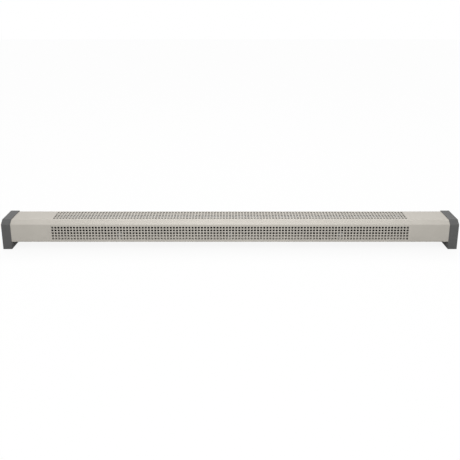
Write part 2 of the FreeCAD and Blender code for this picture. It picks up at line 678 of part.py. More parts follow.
def element_profile():
    """Extruded aluminium: a hub with four ribbed wings and two legs."""
    body = new_body("element_profile")
    hub = sketch(body, "hub", "YZ_Plane")
    circle(hub, "0", "0", "hub_diameter")
    pad(body, hub, ELEMENT_LENGTH, both_ways=True)

    def on_wing(out, up):
        """A point of the upper rear wing, by its distance out along the wing and up from its middle."""
        return (
            f"({out})*cos(wing_angle) - ({up})*sin(wing_angle)",
            f"({out})*sin(wing_angle) + ({up})*cos(wing_angle)",
        )

    start = "hub_diameter/4"
    tops = [(start, "wing_gauge/2")]
    for rib in range(3):
        near = f"hub_diameter/2 + wing_rib_pitch*{rib} + wing_rib"
        tops.append((near, "wing_gauge/2"))
        tops.append((near, "wing_gauge/2 + wing_rib"))
        tops.append((f"{near} + wing_rib", "wing_gauge/2 + wing_rib"))
        tops.append((f"{near} + wing_rib", "wing_gauge/2"))
    tops.append(("wing_reach", "wing_gauge/2"))
    unders = [(out, f"-({up})") for out, up in reversed(tops)]
    wing = sketch(body, "wing", "YZ_Plane")
    polygon(wing, [on_wing(out, up) for out, up in tops + unders])
    first = pad(body, wing, ELEMENT_LENGTH, both_ways=True)
    for plane in ("XZ_Plane", "XY_Plane"):
        mirror = body.newObject("PartDesign::Mirrored", f"element_profile_mirror_{plane}")
        mirror.Originals = [first]
        mirror.MirrorPlane = (origin_feature(body, plane), [""])
        body.Tip = mirror
        doc.recompute()
    both = sketch(body, "lower_front_wing", "YZ_Plane")
    opposite = [on_wing(out, up) for out, up in tops + unders]
    polygon(both, [(f"-({y})", f"-({z})") for y, z in opposite])
    pad(body, both, ELEMENT_LENGTH, both_ways=True)

    tip = "wing_reach*cos(wing_angle)"
    tip_low = "wing_reach*sin(wing_angle)"
    legs = sketch(body, "legs", "YZ_Plane")
    for way in ("-", ""):
        height = f"(leg_drop - {tip_low})"
        rectangle(legs, f"{way}({tip} - wing_gauge/2)", f"-leg_drop + {height}/2", "wing_gauge", height)
    pad(body, legs, ELEMENT_LENGTH, both_ways=True)
    bore = sketch(body, "bore", "YZ_Plane", lift=f"-{ELEMENT_LENGTH}/2")
    circle(bore, "0", "0", "rod_diameter + 2*rod_fit")
    pocket(body, bore, ELEMENT_LENGTH, along_normal=True)
    place(body, y=ELEMENT_Y, z=ELEMENT_Z)


def heating_rod():
    """The steel sheath that runs through the element, with its edges broken."""
    body = new_body("heating_rod")
    half = ROD_END
    radius = "rod_diameter/2"
    chamfer = "rod_diameter/10"
    turned(
        body,
        "X",
        [
            (f"-{half}", "0"),
            (f"-{half}", f"{radius} - {chamfer}"),
            (f"-{half} + {chamfer}", radius),
            (f"{half} - {chamfer}", radius),
            (half, f"{radius} - {chamfer}"),
            (half, "0"),
        ],
    )
    place(body, y=ELEMENT_Y, z=ELEMENT_Z)


def rod_bush(name, side):
    """A flanged ceramic bush that carries the rod in a bulkhead."""
    body = new_body(name)
    out = "" if side > 0 else "-"
    bore = "rod_diameter/2 + rod_fit"
    turned(
        body,
        "X",
        [
            (f"{out}bush_stand", bore),
            (f"{out}bush_stand", "bush_neck/2"),
            ("0", "bush_neck/2"),
            ("0", "bush_flange/2"),
            (f"{out}(-bush_thick)", "bush_flange/2"),
            (f"{out}(-bush_thick)", bore),
        ],
    )
    place(body, x=f"{out}{BULKHEAD_X}", y=ELEMENT_Y, z=ELEMENT_Z)


def rod_ends():
    """Insulators, terminal studs and nuts on both cold ends of the rod."""
    insulators = new_body("rod_insulators")
    drawing = sketch(insulators, "ring", "YZ_Plane")
    circle(drawing, "0", "0", "insulator_diameter")
    circle(drawing, "0", "0", STUD_BORE)
    ring = pad(insulators, drawing, "insulator_length")
    pattern(insulators, ring, ("X_Axis", f"2*{ROD_END} + insulator_length", "2"))
    place(insulators, x=f"-{INSULATOR_END}", y=ELEMENT_Y, z=ELEMENT_Z)

    studs = new_body("rod_studs")
    drawing = sketch(studs, "stud", "YZ_Plane")
    circle(drawing, "0", "0", "stud_diameter")
    stud = pad(studs, drawing, "stud_length")
    pattern(studs, stud, ("X_Axis", f"2*{ROD_END} + stud_length", "2"))
    place(studs, x=f"-({ROD_END} + stud_length)", y=ELEMENT_Y, z=ELEMENT_Z)

    nuts = new_body("rod_nuts")
    drawing = sketch(nuts, "nut", "YZ_Plane")
    hexagon(drawing, "nut_across")
    circle(drawing, "0", "0", STUD_BORE)
    nut = pad(nuts, drawing, "nut_thick")
    pattern(nuts, nut, ("X_Axis", f"2*({INSULATOR_END} + lug_gauge) + nut_thick", "2"))
    place(nuts, x=f"-({INSULATOR_END} + lug_gauge + nut_thick)", y=ELEMENT_Y, z=ELEMENT_Z)


def element_bracket(name, step):
    """A hat-shaped bracket that lifts the element's legs off the base."""
    body = new_body(name)
    height = f"({LEG_FOOT} - {BASE_OVER})"
    inner = "(bracket_reach - bracket_gauge)"
    foot = "(bracket_reach - bracket_flange)"
    right_half = [
        ("bracket_reach", height),
        ("bracket_reach", "0"),
        (foot, "0"),
        (foot, "bracket_gauge"),
        (inner, "bracket_gauge"),
        (inner, f"{height} - bracket_gauge"),
    ]
    left_half = [(f"-{y}", z) for y, z in reversed(right_half)]
    profile = sketch(body, "profile", "YZ_Plane")
    polygon(profile, right_half + left_half)
    pad(body, profile, "bracket_width", both_ways=True)
    holes = sketch(body, "rivet_holes", "XY_Plane")
    for way in ("-", ""):
        circle(holes, "0", f"{way}{BRACKET_RIVET}", RIVET_BORE)
    pocket(body, holes, "2*bracket_gauge", along_normal=True)
    place(body, x=f"{step}*{BRACKET_STEP}", y=ELEMENT_Y, z=BASE_OVER)


def reflector():
    """A shallow channel that keeps the heat off the back wall."""
    body = new_body("reflector")
    web = f"{WALL_INNER} - reflector_stand"
    low_step = f"{REFLECTOR_LOW} + reflector_flange"
    high_step = f"{REFLECTOR_HIGH} - reflector_flange"
    profile = sketch(body, "profile", "YZ_Plane")
    polygon(
        profile,
        [
            (WALL_INNER, REFLECTOR_LOW),
            (WALL_INNER, low_step),
            (web, low_step),
            (web, high_step),
            (WALL_INNER, high_step),
            (WALL_INNER, REFLECTOR_HIGH),
            (f"{WALL_INNER} - reflector_gauge", REFLECTOR_HIGH),
            (f"{WALL_INNER} - reflector_gauge", f"{high_step} + reflector_gauge"),
            (f"{web} - reflector_gauge", f"{high_step} + reflector_gauge"),
            (f"{web} - reflector_gauge", f"{low_step} - reflector_gauge"),
            (f"{WALL_INNER} - reflector_gauge", f"{low_step} - reflector_gauge"),
            (f"{WALL_INNER} - reflector_gauge", REFLECTOR_LOW),
        ],
    )
    pad(body, profile, REFLECTOR_LENGTH, both_ways=True)
    holes = sketch(body, "rivet_holes", "XZ_Plane", lift=f"-({web} + reflector_gauge)")
    circle(holes, f"-{REFLECTOR_RIVET_RUN}/2", REFLECTOR_RIVET_LOW, RIVET_BORE)
    cut = pocket(body, holes, "reflector_stand")
    pattern(
        body,
        cut,
        ("X_Axis", REFLECTOR_RIVET_RUN, "reflector_rivet_count"),
        ("Z_Axis", REFLECTOR_RIVET_STEP, "2"),
    )
    place(body)


def rivets(name, axis, grip, spot, *runs):
    """A group of rivets, each with a head on both sides of its grip, from its first spot along the runs."""
    body = new_body(name)
    head = "rivet_head/2"
    first = turned(
        body,
        axis,
        [
            ("-rivet_head_thick", "0"),
            ("-rivet_head_thick", "rivet_head_top/2"),
            ("0", head),
            ("0", "rivet_diameter/2"),
            (grip, "rivet_diameter/2"),
            (grip, head),
            (f"{grip} + rivet_head_thick", "rivet_head_top/2"),
            (f"{grip} + rivet_head_thick", "0"),
        ],
    )
    pattern(body, first, *runs)
    place(body, *spot)


def screws(name, axis, away, spot, *runs):
    """A group of pan-head screws: the head seats at the spot and the shank points away along the axis."""
    body = new_body(name)
    first = turned(
        body,
        axis,
        [
            (f"{away}(-screw_head_thick)", "0"),
            (f"{away}(-screw_head_thick)", "screw_head_top/2"),
            (f"{away}(-screw_head_rim)", "screw_head/2"),
            ("0", "screw_head/2"),
            ("0", "screw_diameter/2"),
            (f"{away}(screw_length - screw_diameter/2)", "screw_diameter/2"),
            (f"{away}screw_length", "screw_diameter/6"),
            (f"{away}screw_length", "0"),
        ],
    )
    if runs:
        pattern(body, first, *runs)
    place(body, *spot)


def fasteners():
    """Every group of screws and rivets that joins the sheets and the caps."""
    casing_run = ("X_Axis", CASING_SCREW_RUN, "casing_screw_count")
    screws("casing_rear_screws", "Y", "-", (f"-{CASING_SCREW_RUN}/2", REAR, REAR_LIP_MIDDLE), casing_run)
    screws("casing_base_screws", "Z", "", (f"-{CASING_SCREW_RUN}/2", LIP_MIDDLE, "foot_height"), casing_run)
    screws(
        "cap_screws",
        "Z",
        "",
        (f"-{CAP_SCREW_X}", LIP_MIDDLE, "foot_height - foot_wall"),
        ("X_Axis", f"2*{CAP_SCREW_X}", "2"),
        ("Y_Axis", f"{CAP_BOSS_Y} - {LIP_MIDDLE}", "2"),
    )
    screws(
        "bulkhead_screws",
        "Z",
        "-",
        (f"-{BULKHEAD_SCREW_X}", "-bulkhead_flange_width/4", f"{BASE_OVER} + sheet_gauge"),
        ("X_Axis", f"2*{BULKHEAD_SCREW_X}", "2"),
        ("Y_Axis", "bulkhead_flange_width/2", "2"),
    )
    rivets(
        "bracket_rivets",
        "Z",
        "(sheet_gauge + bracket_gauge)",
        (f"-{BRACKET_STEP}", f"{ELEMENT_Y} - {BRACKET_RIVET}", BASE_UNDER),
        ("X_Axis", f"2*{BRACKET_STEP}", "3"),
        ("Y_Axis", f"2*{BRACKET_RIVET}", "2"),
    )
    rivets(
        "reflector_rivets",
        "Y",
        "(sheet_gauge + reflector_gauge)",
        (f"-{REFLECTOR_RIVET_RUN}/2", f"{WALL_INNER} - reflector_gauge", REFLECTOR_RIVET_LOW),
        ("X_Axis", REFLECTOR_RIVET_RUN, "reflector_rivet_count"),
        ("Z_Axis", REFLECTOR_RIVET_STEP, "2"),
    )
    rivets(
        "cutout_rivets",
        "X",
        "(3*sheet_gauge)",
        (BULKHEAD_X, f"{CUTOUT_Y} - clip_rivet_spacing/2", CUTOUT_Z),
        ("Y_Axis", "clip_rivet_spacing", "2"),
    )


def overheat_switch():
    """A disc switch whose sensing face stands in the hot chamber, held by a riveted clip."""
    body = new_body("thermal_cutout")
    radius = "cutout_diameter/2"
    back = "(2*sheet_gauge + cutout_body)"
    turned(
        body,
        "X",
        [
            ("-cutout_face", "0"),
            ("-cutout_face", f"{radius} - cutout_chamfer"),
            ("cutout_chamfer - cutout_face", radius),
            ("sheet_gauge", radius),
            ("sheet_gauge", "cutout_flange/2"),
            ("2*sheet_gauge", "cutout_flange/2"),
            ("2*sheet_gauge", radius),
            (back, radius),
            (back, "0"),
        ],
    )
    blades = sketch(body, "blades", "YZ_Plane", lift=back)
    for way in ("-", ""):
        rectangle(blades, f"{way}blade_spacing/2", "0", "blade_gauge", "blade_width")
    pad(body, blades, "blade_length")
    place(body, x=BULKHEAD_X, y=CUTOUT_Y, z=CUTOUT_Z)

    clip = new_body("cutout_clip")
    strap = sketch(clip, "strap", "YZ_Plane", lift="2*sheet_gauge")
    slot(strap, "0", "0", "clip_length", "clip_width")
    ring = sketch(clip, "ring", "YZ_Plane", lift="2*sheet_gauge")
    circle(ring, "0", "0", "cutout_flange")
    pad(clip, ring, "sheet_gauge")
    pad(clip, strap, "sheet_gauge")
    bores = sketch(clip, "bores", "YZ_Plane", lift="2*sheet_gauge")
    circle(bores, "0", "0", "cutout_diameter + 2*hole_fit")
    for way in ("-", ""):
        circle(bores, f"{way}clip_rivet_spacing/2", "0", RIVET_BORE)
    pocket(clip, bores, "sheet_gauge", along_normal=True)
    place(clip, x=BULKHEAD_X, y=CUTOUT_Y, z=CUTOUT_Z)


def terminal_block():
    """Three poles side by side, with wire bores, clamping screws and two fixing screws."""
    body = new_body("terminal_block")
    outline = sketch(body, "outline", "XY_Plane")
    rectangle(outline, "0", "0", "block_length", "block_depth")
    pad(body, outline, "block_height")
    notches = sketch(body, "notches", "XY_Plane", lift="block_height")
    for way in ("-", ""):
        rectangle(notches, "0", f"{way}pole_pitch/2", "block_length", "screw_head/3")
    pocket(body, notches, "block_height - pole_height - pole_bore")
    bores = sketch(body, "bores", "YZ_Plane", lift="-block_length/2")
    for step in (-1, 0, 1):
        circle(bores, f"{step}*pole_pitch", "pole_height", "pole_bore")
    pocket(body, bores, "block_length", along_normal=True)
    wells = sketch(body, "screw_wells", "XY_Plane", lift="block_height")
    for way in ("-", ""):
        for step in (-1, 0, 1):
            circle(wells, f"{way}pole_screw_spacing/2", f"{step}*pole_pitch", "pole_screw + 2*hole_fit")
    pocket(body, wells, "block_height - pole_height")
    fixings = sketch(body, "fixings", "XY_Plane")
    for way in ("-", ""):
        circle(fixings, "0", f"{way}pole_pitch/2", SCREW_BORE)
    pocket(body, fixings, "block_height", along_normal=True)
    counterbores = sketch(body, "counterbores", "XY_Plane", lift="block_height")
    for way in ("-", ""):
        circle(counterbores, "0", f"{way}pole_pitch/2", "screw_head + 2*hole_fit")
    pocket(body, counterbores, "block_height - screw_length/2")
    place(body, x=BLOCK_MIDDLE, y=BLOCK_Y, z=BASE_OVER)

    screws(
        "block_screws",
        "Z",
        "-",
        (BLOCK_MIDDLE, f"{BLOCK_Y} - pole_pitch/2", f"{BASE_OVER} + screw_length/2"),
        ("Y_Axis", "pole_pitch", "2"),
    )
    clamps = new_body("terminal_screws")
    top = "(block_height - pole_height - wire_diameter/2)"
    first = turned(
        clamps,
        "Z",
        [("0", "0"), ("0", "pole_screw/2"), (top, "pole_screw/2"), (top, "0")],
    )
    pattern(
        clamps,
        first,
        ("X_Axis", "pole_screw_spacing", "2"),
        ("Y_Axis", "2*pole_pitch", "3"),
    )
    place(
        clamps,
        x=f"{BLOCK_MIDDLE} - pole_screw_spacing/2",
        y=f"{BLOCK_Y} - pole_pitch",
        z=f"{POLE_Z} + wire_diameter/2",
    )


def ring_lug(name, spot, turn):
    """A crimped ring lug: a flat ring with a tongue and a barrel along its own Y."""
    body = new_body(name)
    ring = sketch(body, "ring", "XY_Plane")
    circle(ring, "0", "0", "lug_ring")
    pad(body, ring, "lug_gauge")
    tongue = sketch(body, "tongue", "XY_Plane")
    rectangle(tongue, "0", "lug_start/2", "lug_barrel", "lug_start")
    pad(body, tongue, "lug_gauge")
    hole = sketch(body, "hole", "XY_Plane")
    circle(hole, "0", "0", STUD_BORE)
    pocket(body, hole, "lug_gauge", along_normal=True)
    barrel = sketch(body, "barrel", "XZ_Plane", lift="-lug_start")
    circle(barrel, "0", LUG_AXIS, "lug_barrel")
    pad(body, barrel, "lug_barrel_length", backwards=True)
    bore = sketch(body, "bore", "XZ_Plane", lift="-(lug_start + lug_gauge)")
    circle(bore, "0", LUG_AXIS, "wire_diameter + 2*wire_fit")
    pocket(body, bore, "lug_barrel_length")
    place(body, *spot, turn=turn)


def lugs():
    """The ring lugs on the rod's two studs and on the earth screw."""
    along_x, along_y, along_z = Vector(1, 0, 0), Vector(0, 1, 0), Vector(0, 0, 1)
    up = FreeCAD.Rotation(along_y, along_z, along_x)
    down = FreeCAD.Rotation(along_y, -along_z, -along_x)
    flat = FreeCAD.Rotation(-along_y, along_x, along_z)
    ring_lug("lug_right", (INSULATOR_END, ELEMENT_Y, ELEMENT_Z), up)
    ring_lug("lug_left", (f"-{INSULATOR_END}", ELEMENT_Y, ELEMENT_Z), down)
    ring_lug("lug_earth", (EARTH_X, BLOCK_Y, BASE_OVER), flat)


def wire(name, route):
    """A round wire along straight runs joined by tangent arcs."""
    points = [Vector(*(value(formula) for formula in point)) for point in route]
    bend = value("wire_bend")
    edges = []
    start = points[0]
    for before, corner, after in zip(points, points[1:], points[2:]):
        inward = (corner - before).normalize()
        outward = (after - corner).normalize()
        half_turn = inward.getAngle(outward) / 2
        setback = bend * math.tan(half_turn)
        bisector = (outward - inward).normalize()
        middle = corner + bisector * (bend / math.cos(half_turn) - bend)
        arc_start = corner - inward * setback
        arc_end = corner + outward * setback
        edges.append(Part.LineSegment(start, arc_start).toShape())
        edges.append(Part.Arc(arc_start, middle, arc_end).toShape())
        start = arc_end
    edges.append(Part.LineSegment(start, points[-1]).toShape())
    path = Part.Wire(edges)
    radius = value("wire_diameter") / 2
    section = Part.Wire(Part.Circle(points[0], points[1] - points[0], radius).toShape())
    tube = path.makePipeShell([section], True, False)
    expected = math.pi * radius**2 * path.Length
    if abs(tube.Volume - expected) > 0.01 * expected:
        raise ValueError(f"{name} has {tube.Volume:.1f} mm3 where its length gives {expected:.1f}")
    part = doc.addObject("Part::Feature", name)
    part.Label = name
    part.Shape = tube
    part.Placement = FreeCAD.Placement()
    PARTS.append(part)


def wires():
    """Live, link, neutral and earth, from the terminal block to the rod's ends and the base."""
    into_block = f"{BLOCK_START} + pole_screw_spacing"
    out_of_block = f"{BLOCK_START} - 2*wire_bend"
    barrel_x = f"{INSULATOR_END} + {LUG_AXIS}"
    barrel_in = "lug_start + lug_gauge"
    live_y = f"{BLOCK_Y} - pole_pitch"
    neutral_y = f"{BLOCK_Y} + pole_pitch"
    blade_live = f"{CUTOUT_Y} - blade_spacing/2"
    blade_link = f"{CUTOUT_Y} + blade_spacing/2"
    clear_of_blades = f"{BLADE_END} + 1.5*wire_bend"
    over_lug = f"{ELEMENT_Z} + lug_start + lug_barrel_length + 3.5*wire_bend"
    wire(
        "live_wire",
        [
            (into_block, live_y, POLE_Z),
            (clear_of_blades, live_y, POLE_Z),
            (clear_of_blades, blade_live, CUTOUT_Z),
            (BLADE_END, blade_live, CUTOUT_Z),
        ],
    )
    wire(
        "link_wire",
        [
            (BLADE_END, blade_link, CUTOUT_Z),
            (clear_of_blades, blade_link, CUTOUT_Z),
            (clear_of_blades, blade_link, over_lug),
            (barrel_x, ELEMENT_Y, over_lug),
            (barrel_x, ELEMENT_Y, f"{ELEMENT_Z} + {barrel_in}"),
        ],
    )
    wire(
        "neutral_wire",
        [
            (into_block, neutral_y, POLE_Z),
            (out_of_block, neutral_y, POLE_Z),
            (out_of_block, WIRE_Y, WIRE_Z),
            (f"-({barrel_x})", WIRE_Y, WIRE_Z),
            (f"-({barrel_x})", ELEMENT_Y, WIRE_Z),
            (f"-({barrel_x})", ELEMENT_Y, f"{ELEMENT_Z} - ({barrel_in})"),
        ],
    )
    earth_z = f"{BASE_OVER} + {LUG_AXIS}"
    wire(
        "earth_wire",
        [
            (into_block, BLOCK_Y, POLE_Z),
            (f"{BLOCK_START} - wire_bend/2", BLOCK_Y, POLE_Z),
            (f"{BLOCK_START} - 1.5*wire_bend", BLOCK_Y, earth_z),
            (f"{EARTH_X} + {barrel_in}", BLOCK_Y, earth_z),
        ],
    )


def wire_fittings():
    """Clips that hold the long wire to the base, and grommets where it passes the bulkheads."""
    clips = new_body("wire_clips")
    height = "(wire_rise + wire_clip_width/2)"
    outline = sketch(clips, "outline", "YZ_Plane")
    rectangle(outline, "0", f"{height}/2", "wire_clip_width", height)
    circle(outline, "0", "wire_rise", "wire_diameter + 2*wire_fit")
    clip = pad(clips, outline, "wire_clip_width", both_ways=True)
    run = f"((wire_clip_count - 1)*{WIRE_CLIP_STEP})"
    pattern(clips, clip, ("X_Axis", run, "wire_clip_count"))
    place(clips, x=f"-{run}/2", y=WIRE_Y, z=BASE_OVER)

    grommets = new_body("wire_grommets")
    half = "sheet_gauge/2"
    grommet = turned(
        grommets,
        "X",
        [
            (f"-{half} - grommet_lip", "grommet_bore/2"),
            (f"-{half} - grommet_lip", "grommet_flange/2"),
            (f"-{half}", "grommet_flange/2"),
            (f"-{half}", "grommet_neck/2"),
            (half, "grommet_neck/2"),
            (half, "grommet_flange/2"),
            (f"{half} + grommet_lip", "grommet_flange/2"),
            (f"{half} + grommet_lip", "grommet_bore/2"),
        ],
    )
    pattern(grommets, grommet, ("X_Axis", f"2*{BULKHEAD_X} + sheet_gauge", "2"))
    place(grommets, x=f"-{BULKHEAD_X} - sheet_gauge/2", y=WIRE_Y, z=WIRE_Z)


def earth_fixing():
    """The earth screw through its lug and the base, with a nut below."""
    screw = new_body("earth_screw")
    head_seat = "lug_gauge"
    shank_end = "-(sheet_gauge + nut_thick)"
    turned(
        screw,
        "Z",
        [
            (shank_end, "0"),
            (shank_end, "stud_diameter/2"),
            (head_seat, "stud_diameter/2"),
            (head_seat, "nut_across/2"),
            (f"{head_seat} + screw_head_thick/2", "nut_across/2"),
            (f"{head_seat} + screw_head_thick", "nut_across/3"),
            (f"{head_seat} + screw_head_thick", "0"),
        ],
    )
    place(screw, x=EARTH_X, y=BLOCK_Y, z=BASE_OVER)
    nut = new_body("earth_nut")
    drawing = sketch(nut, "nut", "XY_Plane")
    hexagon(drawing, "nut_across")
    circle(drawing, "0", "0", STUD_BORE)
    pad(nut, drawing, "nut_thick", backwards=True)
    place(nut, x=EARTH_X, y=BLOCK_Y, z=BASE_UNDER)


def cable_gland():
    """The cable entry in the base: body, seal, dome nut below and lock nut above."""
    spot = (GLAND_X, ELEMENT_Y, BASE_UNDER)
    nose_end = "-(gland_hex_thick + gland_nose)"
    seal_top = "-(gland_hex_thick + gland_nose/4)"
    body = new_body("gland_body")
    turned(
        body,
        "Z",
        [
            ("gland_rise", "gland_bore/2"),
            ("gland_rise", "gland_thread/2"),
            ("0", "gland_thread/2"),
            ("0", "gland_hex/2"),
            ("-gland_hex_thick", "gland_hex/2"),
            ("-gland_hex_thick", "gland_nose_diameter/2"),
            (nose_end, "gland_nose_diameter/2"),
            (nose_end, "gland_seat/2"),
            (seal_top, "gland_seat/2"),
            (seal_top, "gland_bore/2"),
        ],
    )
    flats = sketch(body, "flats", "XY_Plane")
    hexagon(flats, "gland_hex")
    circle(flats, "0", "0", "gland_thread")
    pad(body, flats, "gland_hex_thick", backwards=True)
    place(body, *spot)

    seal = new_body("gland_seal")
    turned(
        seal,
        "Z",
        [
            (seal_top, "gland_bore/2"),
            (seal_top, "gland_seat/2 - hole_fit"),
            (nose_end, "gland_seat/2 - hole_fit"),
            (nose_end, "gland_bore/2"),
        ],
    )
    place(seal, *spot)

    dome = new_body("gland_dome")
    skirt = "(-gland_hex_thick - hole_fit)"
    face = f"({nose_end} - hole_fit)"
    end = f"({nose_end} - hole_fit - gland_dome_face)"
    turned(
        dome,
        "Z",
        [
            (skirt, "gland_nose_diameter/2 + hole_fit"),
            (skirt, "gland_dome/2"),
            (face, "gland_dome/2"),
            (end, "gland_dome/2 - gland_dome_face/2"),
            (end, "gland_mouth/2"),
            (face, "gland_mouth/2"),
            (face, "gland_nose_diameter/2 + hole_fit"),
        ],
    )
    place(dome, *spot)

    nut = new_body("gland_nut")
    drawing = sketch(nut, "nut", "XY_Plane")
    hexagon(drawing, "gland_hex")
    circle(drawing, "0", "0", "gland_thread + 2*hole_fit")
    pad(nut, drawing, "gland_nut_thick")
    place(nut, GLAND_X, ELEMENT_Y, BASE_OVER)


def write_parts():
    """Check every object, then write each sub-part to its own file."""
    doc.recompute()
    for item in doc.Objects:
        if "Invalid" in item.State or "Error" in item.State:
            raise ValueError(f"{item.Name} failed: {item.State}")
    for part in PARTS:
        if part.Shape.isNull() or not part.Shape.isValid() or not part.Shape.Solids:
            raise ValueError(f"{part.Label} has no valid solid")
    os.makedirs("parts", exist_ok=True)
    for part in PARTS:
        part.Shape.exportStep(os.path.join("parts", f"{part.Label}.step"))
    print(f"{len(PARTS)} sub-parts written")


casing()
rear_panel()
end_cap("end_cap_left", -1)
end_cap("end_cap_right", 1)
bulkhead("bulkhead_left", -1)
bulkhead("bulkhead_right", 1)
element_profile()
heating_rod()
rod_bush("rod_bush_left", -1)
rod_bush("rod_bush_right", 1)
rod_ends()
element_bracket("element_bracket_left", -1)
element_bracket("element_bracket_centre", 0)
element_bracket("element_bracket_right", 1)
reflector()
overheat_switch()
terminal_block()
lugs()
wires()
wire_fittings()
earth_fixing()
cable_gland()
fasteners()
write_parts()
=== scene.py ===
"""Plinth heater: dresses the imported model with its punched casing, finishes, studio light and camera.

Blender works in metres. X runs along the heater, the front faces -Y and Z is up.
"""

import json
import math

import bpy
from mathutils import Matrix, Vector


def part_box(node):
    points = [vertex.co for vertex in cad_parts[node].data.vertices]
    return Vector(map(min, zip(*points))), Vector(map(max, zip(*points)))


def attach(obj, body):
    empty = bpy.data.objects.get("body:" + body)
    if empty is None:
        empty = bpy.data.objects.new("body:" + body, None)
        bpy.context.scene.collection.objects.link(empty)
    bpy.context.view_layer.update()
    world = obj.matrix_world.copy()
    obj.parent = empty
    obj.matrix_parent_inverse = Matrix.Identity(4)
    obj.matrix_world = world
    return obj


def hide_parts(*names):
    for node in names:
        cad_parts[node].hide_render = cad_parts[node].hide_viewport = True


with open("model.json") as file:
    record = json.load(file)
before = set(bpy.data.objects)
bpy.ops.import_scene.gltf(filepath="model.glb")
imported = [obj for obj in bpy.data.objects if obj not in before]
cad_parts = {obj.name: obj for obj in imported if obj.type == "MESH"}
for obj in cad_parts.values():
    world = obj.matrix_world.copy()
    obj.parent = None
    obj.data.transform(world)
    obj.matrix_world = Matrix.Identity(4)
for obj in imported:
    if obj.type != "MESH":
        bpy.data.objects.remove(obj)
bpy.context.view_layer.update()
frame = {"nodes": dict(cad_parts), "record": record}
MM = 0.001

# How far a pattern moves a finish's roughness to either side
GLOSS_SPREAD = 0.08
# Blender's wave texture turns through 20 radians in a unit, so its period at scale 1 is this
WAVE_PERIOD = math.tau / 20

# The punched casing: its box comes from the frame, its sheet work from these millimetres and degrees
SHEET_GAUGE = 1.0
BEND_OUTER = 2.0
BEND_STEPS = 4
BOTTOM_LIP = 14
REAR_LIP = 14
CAP_SHOULDER = 12.4
CAP_REVEAL = 2.0
# The caps stand proud by the reveal, so the casing's own shoulder is a little shorter than theirs
SHOULDER = CAP_SHOULDER - CAP_REVEAL * (2 - math.sqrt(2))
HOLE_SIDE = 6.5
HOLE_PITCH = 10
FRONT_ROW_PITCH = 9.5
HOLE_COLUMNS = 115
HOLE_ROWS = 5
FRONT_ROW_LOW = 11.9
TOP_ROW_REAR = 9
PUNCH_ROLL = 0.15
ROLL_ANGLE = 60
SMOOTH_ANGLE = 30

# The camera, fitted to the photograph: millimetres, degrees and the frame's pixels
CAMERA_BACK = 1427
CAMERA_HEIGHT = 811
CAMERA_PITCH = 11.87
FOCAL_PIXELS = 472
FRAME_PIXELS = 460
SENSOR_WIDTH = 36
CAMERA_SHIFT = -0.3

# The studio: places and sizes in metres, lamps in watts
FLOOR_SIZE = 14
# The floor's tones in the light it throws back and to the camera, which sees this share of it as glow
PAPER_TONES = ("#B4B4B2", "#F4F4F2")
FLOOR_GLOW = 0.98
# How far the floor's painted shadow reaches, where ambient occlusion dims its glow near the heater, and
# how bright it stays to the camera and in reflections
PAINTED_SHADOW_REACH = 0.1
PAINTED_SHADOW_LEVEL = 0.9
# The deepest painted shadow that reflections see under the heater
REFLECTED_PAINTED_SHADOW = 0.2
SKY_LEVEL = 0.09
LAMPS = {
    "key_lamp": {"place": (0, -1.15, 1.35), "size": (1.5, 0.7), "watts": 26},
    "rear_lamp": {"place": (0, 1.1, 1.7), "size": (2.4, 1.0), "watts": 19},
}
LAMP_TARGET = (0, 0, 0.06)


def linear(hex_colour):
    """An sRGB hex colour as linear red, green, blue and alpha."""
    parts = [int(hex_colour[i : i + 2], 16) / 255 for i in (1, 3, 5)]
    return tuple(p / 12.92 if p <= 0.04045 else ((p + 0.055) / 1.055) ** 2.4 for p in parts) + (1,)


def per_metre(millimetres):
    """The texture scale that repeats a pattern at this spacing."""
    return 1 / (millimetres * MM)


def add_node(tree, kind, settings=None, links=None, tones=()):
    """Add a shader node with its settings, the links into it and, on a colour ramp, its two tones."""
    node = tree.nodes.new(kind)
    for name, value in (settings or {}).items():
        if isinstance(name, str) and hasattr(node, name):
            setattr(node, name, value)
        else:
            node.inputs[name].default_value = value
    for name, source in (links or {}).items():
        tree.links.new(source, node.inputs[name])
    for tone, stop in zip(tones, node.color_ramp.elements if tones else ()):
        stop.color = linear(tone)
    return node


def new_finish(name, colour, roughness, metallic=0.0, ior=None):
    """A material with one surface shader. Returns the material, its node tree and the shader."""
    material = bpy.data.materials.new(name)
    material.use_nodes = True
    material.diffuse_color = linear(colour)
    tree = material.node_tree
    shader = tree.nodes["Principled BSDF"]
    shader.inputs["Base Color"].default_value = linear(colour)
    shader.inputs["Roughness"].default_value = roughness
    shader.inputs["Metallic"].default_value = metallic
    if ior:
        shader.inputs["IOR"].default_value = ior
    return material, tree, shader


def own_place(tree):
    """The place on the object itself, which every pattern is laid out by."""
    return add_node(tree, "ShaderNodeTexCoord").outputs["Object"]


def toned(tree, shader, pattern, tones, roughness):
    """Let a pattern take a finish from one tone to another, and from a little glossier to duller."""
    colour = add_node(tree, "ShaderNodeValToRGB", links={"Fac": pattern}, tones=tones)
    dullness = add_node(
        tree,
        "ShaderNodeMapRange",
        {"To Min": roughness - GLOSS_SPREAD, "To Max": roughness + GLOSS_SPREAD},
        {"Value": pattern},
    )
    tree.links.new(colour.outputs["Color"], shader.inputs["Base Color"])
    tree.links.new(dullness.outputs["Result"], shader.inputs["Roughness"])


def patched(tree, shader, tones, roughness, patch_mm):
    """Tone a finish in soft patches of the given width."""
    patches = add_node(
        tree, "ShaderNodeTexNoise", {"Scale": per_metre(patch_mm)}, {"Vector": own_place(tree)}
    )
    toned(tree, shader, patches.outputs["Fac"], tones, roughness)


